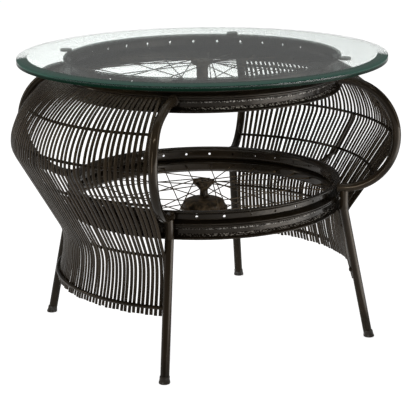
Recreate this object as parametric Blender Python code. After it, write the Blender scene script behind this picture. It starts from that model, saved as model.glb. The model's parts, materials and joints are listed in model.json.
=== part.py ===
"""Round glass coffee table made from bicycle rims, bent tube bows and two curtains of bent flat rod.

Metres, +Z up, the floor at Z = 0 and the wheels' axis on Z. The curtains close the -X and +X sides,
so the shelf on the lower wheel is open to the front (-Y) and to the back (+Y).
"""

import math

import bmesh
import bpy
from mathutils import Vector

# Fit between pieces that touch, and the angle above which an edge is shaded sharp
SEAT_GAP = 0.0003
AXLE_CLEARANCE = 0.0005
SHARP_ANGLE = 35.0

# Bicycle rims, lying flat in two stacked pairs
RIM_RADIUS = 0.286
RIM_WIDTH = 0.0285
RIM_LIP = 0.0032
RIM_WELL_DEPTH = 0.0135
RIM_WELL_WIDTH = 0.011
RIM_SIDE_DEPTH = 0.008
RIM_BED_DEPTH = 0.0165
RIM_BED_WIDTH = 0.015
RIM_SEGMENTS = 40
LOWER_PAIR_Z = 0.2705
UPPER_PAIR_Z = 0.5195

# Spokes and hubs, heights measured from the middle of the laced rim
SPOKES_PER_FLANGE = 16
SPOKE_RADIUS = 0.0012
SPOKE_CROSSES = 3
SPOKE_SIDES = 3
SPOKE_STAGGER = 0.0014
HUB_SEGMENTS = 16
FLANGE_THICK = 0.005
HUB_BORE = 0.0053
PLAIN_FLANGE_RADIUS = 0.023
PLAIN_BARREL_RADIUS = 0.012
PLAIN_FLANGE_RISE = 0.028
CUP_RISE = 0.031
CUP_DEPTH = 0.015
DRUM_BARREL_RADIUS = 0.0085
DRUM_TOP_RADIUS = 0.024
DRUM_RADIUS = 0.044
DRUM_FLANGE_RADIUS = 0.050
DRUM_TOP_DROP = 0.003
DRUM_SHOULDER_DROP = 0.014
DRUM_FLANGE_DROP = 0.0255
AXLE_END = 0.0015
NUT_RADIUS = 0.0085
NUT_HEIGHT = 0.006
AXLE_TAIL = 0.012

# Glass top on four pads
GLASS_RADIUS = 0.381
GLASS_THICK = 0.012
GLASS_BEVEL_WIDTH = 0.022
GLASS_EDGE = 0.006
GLASS_ARRIS = 0.001
GLASS_SEGMENTS = 48
PAD_RADIUS = 0.0115
PAD_HEIGHT = 0.004
PAD_OVERHANG = 0.0065

# Bent tube frame, one bow and one leg at each corner
TUBE_RADIUS = 0.0085
CORNER_AZIMUTH = 46.0
BOW_RADIUS = 0.1125
BOW_STEM = 0.0062
BOW_CENTRE_Z = 0.431
BOW_SEGMENTS = 12
TUBE_SIDES = 8
SOCKET_RADIUS = 0.009
SOCKET_BOTTOM_Z = 0.2733
LEG_SPREAD = 0.055
FOOT_HEIGHT = 0.0145
FOOT_RADIUS = 0.0115
FOOT_EDGE = 0.0015
FOOT_COLLAR = 0.001
ROUND_SIDES = 10

# Curtains of flat rod as (distance out from the rims, height): upper curve, straight fall to the waist,
# which lies higher on the right, and flared apron
ROD_HALF_WIDTH = 0.0026
ROD_HALF_DEPTH = 0.0011
RODS_PER_CURTAIN = 52
ROD_AZIMUTH_SPAN = 86.8
RAIL_DEPTH = 0.008
RAIL_SECTORS = 16
SHOULDER_PULL = (0.066, 0.526)
BULGE_PULL = (0.114, 0.466)
BULGE = (0.1125, 0.408)
WAIST = {"right": (0.010, 0.254), "left": (0.0125, 0.2275)}
APRON = (0.0155, 0.180)
HEM = (0.0315, 0.122)
SHOULDER_STEPS = 4

# Cross hoops by their height on the rods: four inside, set by eye on each side, and one outside the hem
HOOP_HEIGHTS = {
    "right": {"shoulder": 0.496, "bulge": 0.417, "shelf": 0.341, "waist": 0.235},
    "left": {"shoulder": 0.496, "bulge": 0.430, "shelf": 0.356, "waist": 0.238},
}
HOOP_HALF = 0.0027
HEM_HOOP_Z = 0.135
HEM_HOOP_HALF = 0.0042
HOOP_SEGMENTS = 12
RIB_HALF = 0.004
RIB_KNEE_Z = 0.331

CORNERS = {
    "front_right": -CORNER_AZIMUTH,
    "back_right": CORNER_AZIMUTH,
    "back_left": 180.0 - CORNER_AZIMUTH,
    "front_left": 180.0 + CORNER_AZIMUTH,
}
SIDES = {"right": 0.0, "left": 180.0}
WHEELS = {"upper": UPPER_PAIR_Z, "lower": LOWER_PAIR_Z}


def material(name, colour, roughness, metallic):
    made = bpy.data.materials.new(name)
    made.use_nodes = True
    shader = made.node_tree.nodes["Principled BSDF"]
    shader.inputs["Base Color"].default_value = (*colour, 1.0)
    shader.inputs["Roughness"].default_value = roughness
    shader.inputs["Metallic"].default_value = metallic
    return made


def polar(radius, azimuth, height, side=0.0):
    """Point at a radius and height in the upright plane at an azimuth in degrees, moved sideways."""
    turn = math.radians(azimuth)
    x = radius * math.cos(turn) - side * math.sin(turn)
    y = radius * math.sin(turn) + side * math.cos(turn)
    return Vector((x, y, height))


def add_object(name, bm, look, smooth=True):
    bmesh.ops.recalc_face_normals(bm, faces=bm.faces)
    mesh = bpy.data.meshes.new(name)
    bm.to_mesh(mesh)
    bm.free()
    mesh.materials.append(look)
    if smooth:
        mesh.shade_smooth()
        mesh.set_sharp_from_angle(angle=math.radians(SHARP_ANGLE))
    made = bpy.data.objects.new(name, mesh)
    bpy.context.scene.collection.objects.link(made)
    return made


def bridge(bm, rings, closed=False):
    """Quads between rows of vertices, each row a loop."""
    count = len(rings[0])
    last = len(rings) if closed else len(rings) - 1
    for row in range(last):
        lower = rings[row]
        upper = rings[(row + 1) % len(rings)]
        for i in range(count):
            j = (i + 1) % count
            bm.faces.new((lower[i], lower[j], upper[j], upper[i]))


def turned(name, profile, segments, look):
    """Ring turned about Z from a closed outline of (radius, height)."""
    bm = bmesh.new()
    rings = []
    for step in range(segments):
        azimuth = 360.0 * step / segments
        rings.append([bm.verts.new(polar(r, azimuth, z)) for r, z in profile])
    bridge(bm, rings, closed=True)
    return add_object(name, bm, look)


def stacked(name, stations, sides, look, azimuth=0.0):
    """Solid through level discs of (centre radius, height, disc radius), so both ends are level."""
    bm = bmesh.new()
    rings = []
    for centre, height, radius in stations:
        ring = []
        for step in range(sides):
            turn = 2 * math.pi * step / sides
            out = centre + radius * math.cos(turn)
            ring.append(bm.verts.new(polar(out, azimuth, height, radius * math.sin(turn))))
        rings.append(ring)
    bridge(bm, rings)
    bm.faces.new(rings[0])
    bm.faces.new(rings[-1])
    return add_object(name, bm, look)


def section_normals(path):
    """Mitred unit normals along a path of (radius, height)."""
    points = [Vector(point) for point in path]
    runs = [(b - a).normalized() for a, b in zip(points, points[1:])]
    normals = []
    for before, after in zip([runs[0], *runs], [*runs, runs[-1]]):
        along = (before + after).normalized()
        mitre = along.dot(after)
        normals.append(Vector((along.y, -along.x)) / mitre)
    return normals


def bent_tube(name, path, azimuth, radius, sides, look):
    """Tube along a path of (radius, height) in the upright plane at an azimuth."""
    bm = bmesh.new()
    rings = []
    for (r, z), normal in zip(path, section_normals(path)):
        ring = []
        for step in range(sides):
            turn = 2 * math.pi * (step + 0.5) / sides
            lift = radius * math.cos(turn)
            side = radius * math.sin(turn)
            ring.append(bm.verts.new(polar(r + lift * normal.x, azimuth, z + lift * normal.y, side)))
        rings.append(ring)
    bridge(bm, rings)
    bm.faces.new(rings[0])
    bm.faces.new(rings[-1])
    return add_object(name, bm, look, smooth=sides > 4)


def level_arc(name, corners, half_span, azimuth, segments, look):
    """Bar bent to a level arc, from the corners of its section as (radius, height)."""
    bm = bmesh.new()
    rings = []
    for step in range(segments + 1):
        turn = azimuth + half_span * (2.0 * step / segments - 1.0)
        rings.append([bm.verts.new(polar(r, turn, z)) for r, z in corners])
    bridge(bm, rings)
    bm.faces.new(rings[0])
    bm.faces.new(rings[-1])
    return add_object(name, bm, look, smooth=False)


# Rims, spokes and hubs


def rim_profile(bottom):
    """Outline of a deep-well steel rim whose tyre well opens outwards."""
    middle = bottom + RIM_WIDTH / 2
    lip = RIM_RADIUS
    well = lip - RIM_WELL_DEPTH
    half_outline = [
        (well, RIM_WELL_WIDTH / 2),
        (lip, RIM_WIDTH / 2 - RIM_LIP),
        (lip, RIM_WIDTH / 2),
        (lip - RIM_SIDE_DEPTH, RIM_WIDTH / 2),
        (lip - RIM_BED_DEPTH, RIM_BED_WIDTH / 2),
    ]
    above = [(r, middle + z) for r, z in half_outline]
    below = [(r, middle - z) for r, z in reversed(half_outline)]
    return above + below


def plain_hub_profile(middle):
    top = middle + PLAIN_FLANGE_RISE
    bottom = middle - PLAIN_FLANGE_RISE
    web = 2 * FLANGE_THICK
    return [
        (HUB_BORE, bottom - FLANGE_THICK / 2),
        (PLAIN_FLANGE_RADIUS, bottom - FLANGE_THICK / 2),
        (PLAIN_FLANGE_RADIUS, bottom + FLANGE_THICK / 2),
        (PLAIN_BARREL_RADIUS, bottom + web),
        (PLAIN_BARREL_RADIUS, top - web),
        (PLAIN_FLANGE_RADIUS, top - FLANGE_THICK / 2),
        (PLAIN_FLANGE_RADIUS, top + FLANGE_THICK / 2),
        (HUB_BORE, top + FLANGE_THICK / 2),
    ]


def drum_hub_profile(middle):
    """Cupped flange, slim barrel and a domed brake drum with a wide spoke flange."""
    cup = middle + CUP_RISE
    flange = middle - DRUM_FLANGE_DROP
    shoulder = middle - DRUM_SHOULDER_DROP
    top = middle - DRUM_TOP_DROP
    return [
        (HUB_BORE, flange - FLANGE_THICK / 2),
        (DRUM_FLANGE_RADIUS, flange - FLANGE_THICK / 2),
        (DRUM_FLANGE_RADIUS, flange + FLANGE_THICK / 2),
        (DRUM_RADIUS, flange + FLANGE_THICK / 2),
        (DRUM_RADIUS, shoulder),
        ((DRUM_RADIUS + DRUM_TOP_RADIUS) / 2, (shoulder + 2 * top) / 3),
        (DRUM_TOP_RADIUS, top),
        (DRUM_BARREL_RADIUS, top),
        (DRUM_BARREL_RADIUS, cup - CUP_DEPTH),
        (PLAIN_FLANGE_RADIUS, cup - FLANGE_THICK / 2),
        (PLAIN_FLANGE_RADIUS, cup + FLANGE_THICK / 2),
        (HUB_BORE, cup + FLANGE_THICK / 2),
    ]


def add_spoke(bm, start, end):
    """Slim prism from one point to another."""
    along = (end - start).normalized()
    across = along.cross(Vector((0, 0, 1))).normalized()
    up = across.cross(along)
    rings = []
    for centre in (start, end):
        ring = []
        for step in range(SPOKE_SIDES):
            turn = 2 * math.pi * step / SPOKE_SIDES
            ring.append(bm.verts.new(centre + SPOKE_RADIUS * (math.cos(turn) * up + math.sin(turn) * across)))
        rings.append(ring)
    bridge(bm, rings)
    bm.faces.new(rings[0])
    bm.faces.new(rings[1])


def spoke_set(name, middle, flanges, look):
    """Crossed spokes from each flange of (radius, height above the middle) out to the rim bed."""
    bm = bmesh.new()
    hole_step = 360.0 / SPOKES_PER_FLANGE
    bed = RIM_RADIUS - RIM_BED_DEPTH
    for index, (flange_radius, rise) in enumerate(flanges):
        tilt = (flange_radius + abs(rise)) / bed
        end_radius = bed * math.cos(math.pi / RIM_SEGMENTS) - SEAT_GAP - SPOKE_RADIUS * tilt
        for hole in range(SPOKES_PER_FLANGE):
            turn = 1 if hole % 2 else -1
            at_hub = hole_step * (hole + index / 2)
            at_rim = at_hub + turn * SPOKE_CROSSES * hole_step
            stagger = turn * SPOKE_STAGGER
            start = polar(flange_radius - 2 * SPOKE_RADIUS, at_hub, middle + rise + stagger)
            end = polar(end_radius, at_rim, middle + stagger)
            add_spoke(bm, start, end)
    made = add_object(name, bm, look, smooth=False)
    made.hide_render = True
    made.display_type = "WIRE"
    return made


def laced_hub(name, profile, middle, flanges, look):
    """Hub with its spokes fused to the flanges that carry them."""
    hub = turned(name, profile, HUB_SEGMENTS, look)
    union = hub.modifiers.new("spokes", "BOOLEAN")
    union.operation = "UNION"
    union.solver = "EXACT"
    union.object = spoke_set(name + "_spokes", middle, flanges, look)
    return hub


def axle(name, hub_profile, look):
    """Axle through a hub: flush above, with a nut and a short tail below."""
    heights = [z for _, z in hub_profile]
    top = max(heights)
    nut_top = min(heights) - AXLE_CLEARANCE
    nut_bottom = nut_top - NUT_HEIGHT
    radius = HUB_BORE - AXLE_CLEARANCE
    stations = [
        (0.0, nut_bottom - AXLE_TAIL, radius),
        (0.0, nut_bottom, radius),
        (0.0, nut_bottom, NUT_RADIUS),
        (0.0, nut_top, NUT_RADIUS),
        (0.0, nut_top, radius),
        (0.0, top + AXLE_END, radius),
    ]
    return stacked(name, stations, TUBE_SIDES, look)


def build_wheels(iron, steel):
    for level, pair_z in WHEELS.items():
        bare_z = pair_z + RIM_WIDTH + SEAT_GAP
        turned(f"{level}_laced_rim", rim_profile(pair_z), RIM_SEGMENTS, iron)
        turned(f"{level}_bare_rim", rim_profile(bare_z), RIM_SEGMENTS, iron)
    middle = UPPER_PAIR_Z + RIM_WIDTH / 2
    profile = plain_hub_profile(middle)
    flanges = [(PLAIN_FLANGE_RADIUS, PLAIN_FLANGE_RISE), (PLAIN_FLANGE_RADIUS, -PLAIN_FLANGE_RISE)]
    laced_hub("upper_hub", profile, middle, flanges, steel)
    axle("upper_axle", profile, steel)
    middle = LOWER_PAIR_Z + RIM_WIDTH / 2
    profile = drum_hub_profile(middle)
    flanges = [(PLAIN_FLANGE_RADIUS, CUP_RISE), (DRUM_FLANGE_RADIUS, -DRUM_FLANGE_DROP)]
    laced_hub("lower_hub", profile, middle, flanges, steel)
    axle("lower_axle", profile, steel)


# Glass top and its pads


def build_top(glass, rubber):
    rim_top = UPPER_PAIR_Z + 2 * RIM_WIDTH + SEAT_GAP
    pad_z = rim_top + SEAT_GAP
    bottom = pad_z + PAD_HEIGHT + SEAT_GAP
    stations = [
        (0.0, bottom, GLASS_RADIUS - GLASS_ARRIS),
        (0.0, bottom + GLASS_ARRIS, GLASS_RADIUS),
        (0.0, bottom + GLASS_EDGE, GLASS_RADIUS),
        (0.0, bottom + GLASS_THICK, GLASS_RADIUS - GLASS_BEVEL_WIDTH),
    ]
    stacked("glass_top", stations, GLASS_SEGMENTS, glass)
    pad_radius = RIM_RADIUS + PAD_OVERHANG
    for corner, azimuth in CORNERS.items():
        stations = [(pad_radius, pad_z, PAD_RADIUS), (pad_radius, pad_z + PAD_HEIGHT, PAD_RADIUS)]
        stacked(f"glass_pad_{corner}", stations, ROUND_SIDES, rubber, azimuth)


# Bows, sockets, legs and feet


def bow_centre():
    return RIM_RADIUS + SEAT_GAP + BOW_STEM


def bow_path():
    """Half circle with a short level stem to the rims at each end."""
    centre = bow_centre()
    stem_end = centre - BOW_STEM
    path = [(stem_end, BOW_CENTRE_Z + BOW_RADIUS)]
    for step in range(BOW_SEGMENTS + 1):
        turn = math.pi * (0.5 - step / BOW_SEGMENTS)
        path.append((centre + BOW_RADIUS * math.cos(turn), BOW_CENTRE_Z + BOW_RADIUS * math.sin(turn)))
    path.append((stem_end, BOW_CENTRE_Z - BOW_RADIUS))
    return path


def build_frame(iron, rubber):
    socket_r = RIM_RADIUS + SEAT_GAP + SOCKET_RADIUS
    socket_top = BOW_CENTRE_Z - BOW_RADIUS - TUBE_RADIUS - SEAT_GAP
    leg_top = SOCKET_BOTTOM_Z - SEAT_GAP
    foot_r = socket_r + LEG_SPREAD
    leg_bottom = FOOT_HEIGHT + SEAT_GAP
    slope = LEG_SPREAD / (leg_top - leg_bottom)
    for corner, azimuth in CORNERS.items():
        bent_tube(f"bow_{corner}", bow_path(), azimuth, TUBE_RADIUS, TUBE_SIDES, iron)
        socket = [(socket_r, SOCKET_BOTTOM_Z, SOCKET_RADIUS), (socket_r, socket_top, SOCKET_RADIUS)]
        stacked(f"leg_socket_{corner}", socket, ROUND_SIDES, iron, azimuth)
        leg = [(foot_r, leg_bottom, TUBE_RADIUS), (socket_r, leg_top, TUBE_RADIUS)]
        stacked(f"leg_{corner}", leg, ROUND_SIDES, iron, azimuth)
        toe = foot_r + slope * FOOT_HEIGHT
        collar = TUBE_RADIUS + FOOT_COLLAR
        foot = [
            (toe, 0.0, FOOT_RADIUS - FOOT_EDGE),
            (toe, FOOT_EDGE, FOOT_RADIUS),
            ((toe + foot_r) / 2, FOOT_HEIGHT / 2, collar),
            (foot_r, FOOT_HEIGHT, collar),
        ]
        stacked(f"foot_{corner}", foot, ROUND_SIDES, rubber, azimuth)


# Rod curtains with their hoops and middle ribs


def rod_path(side):
    """Rod centre line of (radius, height) from the top rail to the hem."""
    rims_joint = UPPER_PAIR_Z + RIM_WIDTH + SEAT_GAP / 2
    pulls = ((SEAT_GAP + RAIL_DEPTH, rims_joint), SHOULDER_PULL, BULGE_PULL, BULGE)
    path = []
    for step in range(SHOULDER_STEPS + 1):
        t = step / SHOULDER_STEPS
        weights = ((1 - t) ** 3, 3 * t * (1 - t) ** 2, 3 * t * t * (1 - t), t**3)
        path.append(sum((w * Vector(p) for w, p in zip(weights, pulls)), Vector((0, 0))))
    path += [Vector(WAIST[side]), Vector(APRON), Vector(HEM)]
    return [(RIM_RADIUS + point.x, point.y) for point in path]


def on_rod(side, height, depth):
    """Point at a height, moved in from the rods by a depth, with the outward normal there."""
    path = [Vector(point) for point in rod_path(side)]
    for upper, lower in zip(path, path[1:]):
        if lower.y <= height <= upper.y:
            break
    along = (lower - upper).normalized()
    outward = Vector((-along.y, along.x))
    at = upper.lerp(lower, (upper.y - height) / (upper.y - lower.y))
    return at - outward * depth, outward


def rod_curtain(side, look):
    """Rods drawn out of the front of a top rail that seats against the upper rims."""
    bm = bmesh.new()
    path = rod_path(side)
    normals = section_normals(path)
    normals[0] = Vector((0, -1))
    rail_front = path[0][0]
    pitch = ROD_AZIMUTH_SPAN / (RODS_PER_CURTAIN - 1)
    top = []
    low = []
    for rod in range(RODS_PER_CURTAIN):
        azimuth = SIDES[side] - ROD_AZIMUTH_SPAN / 2 + rod * pitch
        rings = []
        for (r, z), normal in zip(path, normals):
            ring = []
            for aside, lift in ((-1, 1), (1, 1), (1, -1), (-1, -1)):
                out = r + lift * ROD_HALF_DEPTH * normal.x
                height = z + lift * ROD_HALF_DEPTH * normal.y
                ring.append(bm.verts.new(polar(out, azimuth, height, aside * ROD_HALF_WIDTH)))
            rings.append(ring)
        bridge(bm, rings)
        bm.faces.new(rings[-1])
        low += rings[0][:2]
        top += [rings[0][3], rings[0][2]]
    for rod in range(1, RODS_PER_CURTAIN):
        i = 2 * rod
        bm.faces.new((low[i - 1], low[i], top[i], top[i - 1]))
    close_rail(bm, SIDES[side], rail_front, top, low)
    return add_object(f"{side}_rod_curtain", bm, look, smooth=False)


def close_rail(bm, side_azimuth, rail_front, top, low):
    """Back, top, underside and ends of the rail behind two rows of front vertices."""
    half_span = ROD_AZIMUTH_SPAN / 2 + math.degrees(ROD_HALF_WIDTH / rail_front)
    sector = 2 * half_span / RAIL_SECTORS
    back = (rail_front - RAIL_DEPTH) / math.cos(math.radians(sector / 2))
    heights = {"top": top[0].co.z, "low": low[0].co.z}
    rows = {}
    for row, height in heights.items():
        edge = [polar(back, side_azimuth - half_span + i * sector, height) for i in range(RAIL_SECTORS + 1)]
        rows[row] = [bm.verts.new(point) for point in edge]
    per_sector = len(top) / RAIL_SECTORS
    for i in range(RAIL_SECTORS):
        first = round(i * per_sector)
        last = min(round((i + 1) * per_sector), len(top) - 1)
        for row, front in (("top", top), ("low", low)):
            bm.faces.new([rows[row][i], *front[first : last + 1], rows[row][i + 1]])
        bm.faces.new((rows["top"][i], rows["top"][i + 1], rows["low"][i + 1], rows["low"][i]))
    for end in (0, -1):
        bm.faces.new((rows["top"][end], top[end], low[end], rows["low"][end]))


def bar_corners(centre, normal, half):
    """Corners of a square bar's section in the upright plane, one pair of faces square to a normal."""
    across = Vector((-normal.y, normal.x))
    signs = ((-1, -1), (1, -1), (1, 1), (-1, 1))
    return [centre + normal * out * half + across * along * half for out, along in signs]


def corner_room(corners):
    """Sideways distance from the corner's plane at which the end of a bar butts the bow or the leg."""
    beside = 0.0
    if min(corner.y for corner in corners) > SOCKET_BOTTOM_Z:
        middle = Vector((bow_centre(), BOW_CENTRE_Z))
        off_bow = [(corner - middle).length - BOW_RADIUS for corner in corners]
        if max(off_bow) < 0 or min(off_bow) > 0:
            beside = min(abs(off) for off in off_bow)
    return math.sqrt(max((TUBE_RADIUS + SEAT_GAP) ** 2 - beside**2, 0.0))


def add_hoop(side, hoop, height, depth, half, look):
    """Hoop set in from the rods by a depth, or out where that is negative, from corner to corner."""
    centre, normal = on_rod(side, height, depth)
    room = corner_room(bar_corners(centre, normal, half))
    half_span = CORNER_AZIMUTH - math.degrees(math.asin(room / centre.x))
    if depth < 0:
        centre.x /= math.cos(math.radians(half_span / HOOP_SEGMENTS))
    corners = bar_corners(centre, normal, half)
    return level_arc(f"{side}_{hoop}_hoop", corners, half_span, SIDES[side], HOOP_SEGMENTS, look)


def rib_path(side):
    """Middle rib inside the hoops, from just above the bulge hoop to the well of the lower bare rim."""
    top = HOOP_HEIGHTS[side]["bulge"] + RIB_HALF
    depth = ROD_HALF_DEPTH + 2 * HOOP_HALF + 2 * SEAT_GAP + RIB_HALF
    rod = rod_path(side)
    bend = Vector(rod[SHOULDER_STEPS]) + section_normals(rod)[SHOULDER_STEPS] * depth
    well = RIM_RADIUS - RIM_WELL_DEPTH + SEAT_GAP
    well_z = LOWER_PAIR_Z + RIM_WIDTH + SEAT_GAP + RIM_WIDTH / 2
    knee = on_rod(side, RIB_KNEE_Z, depth)[0]
    return [
        tuple(on_rod(side, top, depth)[0]),
        tuple(bend),
        tuple(knee),
        (RIM_RADIUS + 2 * RIB_HALF, well_z),
        (well, well_z),
    ]


def build_curtains(iron):
    for side, azimuth in SIDES.items():
        rod_curtain(side, iron)
        inside = ROD_HALF_DEPTH + SEAT_GAP + HOOP_HALF
        for hoop, height in HOOP_HEIGHTS[side].items():
            add_hoop(side, hoop, height, inside, HOOP_HALF, iron)
        outside = ROD_HALF_DEPTH + SEAT_GAP + HEM_HOOP_HALF
        add_hoop(side, "hem", HEM_HOOP_Z, -outside, HEM_HOOP_HALF, iron)
        bent_tube(f"{side}_middle_rib", rib_path(side), azimuth, RIB_HALF * math.sqrt(2), 4, iron)


def main():
    for stale in list(bpy.data.objects):
        bpy.data.objects.remove(stale)
    iron = material("bronze_black_iron", (0.045, 0.036, 0.028), 0.35, 0.6)
    steel = material("dark_hub_steel", (0.07, 0.06, 0.05), 0.4, 0.8)
    glass = material("green_edged_glass", (0.62, 0.74, 0.70), 0.05, 0.0)
    rubber = material("grey_rubber", (0.16, 0.16, 0.16), 0.7, 0.0)
    build_wheels(iron, steel)
    build_top(glass, rubber)
    build_frame(iron, rubber)
    build_curtains(iron)


main()
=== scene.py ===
"""Looks of a round glass coffee table made from bicycle rims, bent tube and two curtains of bent flat rod.

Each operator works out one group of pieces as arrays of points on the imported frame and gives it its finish.
Lengths are metres and +Z is up. A place on the table has an azimuth, a radius and a height.
"""

import json
import math

import bmesh
import bpy
import numpy as np
from bpy.props import FloatProperty, FloatVectorProperty, IntProperty, PointerProperty
from mathutils import Matrix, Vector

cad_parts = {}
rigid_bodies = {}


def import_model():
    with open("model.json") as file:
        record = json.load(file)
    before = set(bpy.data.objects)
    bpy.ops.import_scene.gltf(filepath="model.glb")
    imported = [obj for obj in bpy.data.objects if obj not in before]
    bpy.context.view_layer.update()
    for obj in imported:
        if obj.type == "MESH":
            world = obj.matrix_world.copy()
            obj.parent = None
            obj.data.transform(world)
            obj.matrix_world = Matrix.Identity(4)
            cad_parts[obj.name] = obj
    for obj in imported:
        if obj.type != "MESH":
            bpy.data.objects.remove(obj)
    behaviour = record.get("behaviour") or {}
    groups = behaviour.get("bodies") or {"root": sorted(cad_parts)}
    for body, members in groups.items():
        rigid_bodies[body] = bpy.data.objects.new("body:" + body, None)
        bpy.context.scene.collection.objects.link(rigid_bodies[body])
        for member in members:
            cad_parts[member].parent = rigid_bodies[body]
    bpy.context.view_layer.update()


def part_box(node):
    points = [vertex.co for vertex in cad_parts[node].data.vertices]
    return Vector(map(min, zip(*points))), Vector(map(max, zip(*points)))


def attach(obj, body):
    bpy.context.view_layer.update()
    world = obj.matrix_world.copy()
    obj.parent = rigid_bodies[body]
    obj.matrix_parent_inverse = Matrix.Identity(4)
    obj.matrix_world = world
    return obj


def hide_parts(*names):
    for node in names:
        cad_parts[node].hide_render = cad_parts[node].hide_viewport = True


bl_info = {
    "name": "Bicycle Rim Coffee Table",
    "version": (1, 0, 0),
    "blender": (4, 5, 0),
    "location": "3D View > Sidebar > Rim Table",
    "description": "Builds the dressed pieces of a glass table on bicycle rims",
    "category": "Object",
}

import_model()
glass_low, glass_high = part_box("glass_top")
rim_low, rim_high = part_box("lower_laced_rim")
foot_low, foot_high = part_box("foot_back_right")
socket_low, socket_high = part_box("leg_socket_back_right")

RIM_RADIUS = rim_high.x
RIM_WIDTH = rim_high.z - rim_low.z
foot_middle = (foot_low + foot_high) / 2
socket_middle = (socket_low + socket_high) / 2
CORNER = math.atan2(foot_middle.y, foot_middle.x)
CORNERS = {
    "front_right": -CORNER,
    "back_right": CORNER,
    "back_left": math.pi - CORNER,
    "front_left": math.pi + CORNER,
}
SIDES = {"right": 0.0, "left": math.pi}
LEVELS = ("upper", "lower")
UP = (0.0, 0.0, 1.0)
WHITE = (1.0, 1.0, 1.0)


# Settings


def length(name, default, description):
    """Property of a length."""
    return FloatProperty(name=name, description=description, default=default, unit="LENGTH")


def angle(name, degrees, description):
    """Property of an angle, with its default in degrees."""
    return FloatProperty(name=name, description=description, default=math.radians(degrees), subtype="ANGLE")


def count(name, default, description, least=0):
    """Property of a whole number."""
    return IntProperty(name=name, description=description, default=default, min=least)


def tint(name, default, description):
    """Property of a colour in linear light."""
    return FloatVectorProperty(name=name, description=description, default=default, subtype="COLOR")


def vector(name, default, description, subtype="DIRECTION"):
    """Property of a direction or a place."""
    return FloatVectorProperty(name=name, description=description, default=default, subtype=subtype)


class GlassSettings(bpy.types.PropertyGroup):
    """Sizes and tints of the glass top"""

    bevel_width: length("Bevel width", 0.022, "Width of the polished bevel")
    edge_height: length("Edge height", 0.0088, "Upright edge left below the bevel")
    settle: length("Settle", 0.002, "How far the glass sinks its pads")
    absorption: tint("Body tint", (0.10, 0.81, 0.52), "Colour that the glass lets through")
    density: FloatProperty(name="Tint density", description="Strength of the body tint", default=3.6)
    # Painted green: opaque colours that stand in for the light the green glass carries along its sheet,
    # darkest on the upright edge and lighter up the bevel.
    painted_edge_green: tint("Edge", (0.0020, 0.0190, 0.0100), "Deep green of the upright edge")
    painted_bevel_outside: tint("Bevel outside", (0.0480, 0.1600, 0.1180), "Green of the bevel beside the edge")
    painted_bevel_inside: tint("Bevel inside", (0.1350, 0.2500, 0.2050), "Green of the bevel beside the flat")


class RimSettings(bpy.types.PropertyGroup):
    """Sizes of the section of a rim and its spoke holes"""

    well_depth: length("Well depth", 0.0135, "Depth of the tyre well")
    bed_depth: length("Bed depth", 0.0165, "Depth of the spoke bed from the lip")
    holes: count("Holes", 32, "Spoke holes in a rim", 8)
    hole_radius: length("Hole radius", 0.0026, "Radius of an open spoke hole")
    upper_turn: angle("Upper turn", -4.2, "Turn of the upper bare rim about its axis")


class WheelSettings(bpy.types.PropertyGroup):
    """Sizes of the spokes, the hubs and the axles"""

    spoke_radius: length("Spoke radius", 0.00115, "Radius of the wire")
    crosses: count("Crosses", 3, "Spokes that each spoke crosses")
    flange_radius: length("Flange radius", 0.023, "Radius of a plain spoke flange")
    flange_rise: length("Flange rise", 0.028, "Plain flanges above and below the rim")
    cup_rise: length("Cup rise", 0.031, "Cupped flange above the rim")
    drum_radius: length("Drum radius", 0.044, "Radius of the brake drum")
    drum_flange: length("Drum flange", 0.050, "Radius of the drum's spoke flange")
    drum_drop: length("Drum drop", 0.0255, "Drum flange below the middle of the rim")


class TubeSettings(bpy.types.PropertyGroup):
    """Sizes of the bows, the legs and their caps"""

    bow_tube: length("Bow tube", 0.009, "Radius of the tube of a bow")
    leg_tube: length("Leg tube", 0.0091, "Radius of the tube of a leg")
    bow_radius: length("Bow radius", 0.1125, "Bend radius of a bow")
    bow_height: length("Bow height", 0.431, "Height of a bow's centre")
    lean: length("Lean", 0.010, "How far the top of the front left bow leans aside")


class CurtainSettings(bpy.types.PropertyGroup):
    """Sizes and hand-bent spread of the rod curtains"""

    rods: count("Rods", 52, "Rods in one curtain", 2)
    rod_half: length("Rod half width", 0.0035, "Half width of a flat rod")
    rod_depth: length("Rod half depth", 0.0013, "Half thickness of a flat rod")
    span: angle("Span", 86.8, "Angle from the first rod to the last")
    fan: angle("Fan", 2.4, "How much wider the left rods spread below the bulge")
    wander: length("Wander", 0.0019, "How far a hand-bent rod strays")
    uneven: length("Uneven", 0.0003, "How far a rod is set off its even place")
    hoop_radius: length("Hoop radius", 0.0029, "Radius of an inner hoop")
    hem_radius: length("Hem hoop radius", 0.0038, "Radius of the hem hoop")
    rib_half: length("Rib half width", 0.004, "Half width of the middle rib")
    seed: count("Seed", 7, "Seed of the hand-bent spread")


class FinishSettings(bpy.types.PropertyGroup):
    """Colours of the finishes"""

    enamel: tint("Enamel", (0.0075, 0.0056, 0.0036), "Bronze-black enamel")
    enamel_warm: tint("Warm enamel", (0.0190, 0.0135, 0.0080), "Browner patches of the enamel")
    # Colour of the real worn flecks on the tubes, and of the bright painted glints on the rims.
    fleck_and_glint: tint("Fleck", (0.80, 0.76, 0.70), "Worn flecks of bare metal")
    sheen_tint: tint("Sheen", (1.0, 0.82, 0.62), "Tint of the light that the enamel mirrors")
    rubber: tint("Rubber", (0.15, 0.15, 0.14), "Grey rubber of the pads")


class StageSettings(bpy.types.PropertyGroup):
    """Camera, floor and light of the room"""

    camera_at: vector("Camera", (-1.53881, -2.58582, 1.0679), "Place of the camera", "TRANSLATION")
    camera_forward: vector("Forward", (0.495154, 0.829427, -0.258601), "Way the camera looks")
    camera_up: vector("Up", (0.143105, 0.215724, 0.965911), "Upper side of the picture")
    lens: FloatProperty(name="Lens", description="Focal length in millimetres", default=128.49)
    floor: tint("Floor", (0.92, 0.92, 0.91), "Colour of the floor")
    floor_pale: tint("Pale floor", (0.95, 0.95, 0.945), "Paler clouds of the floor")
    ambient: FloatProperty(name="Ambient", description="Light from the room", default=0.16)


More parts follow.
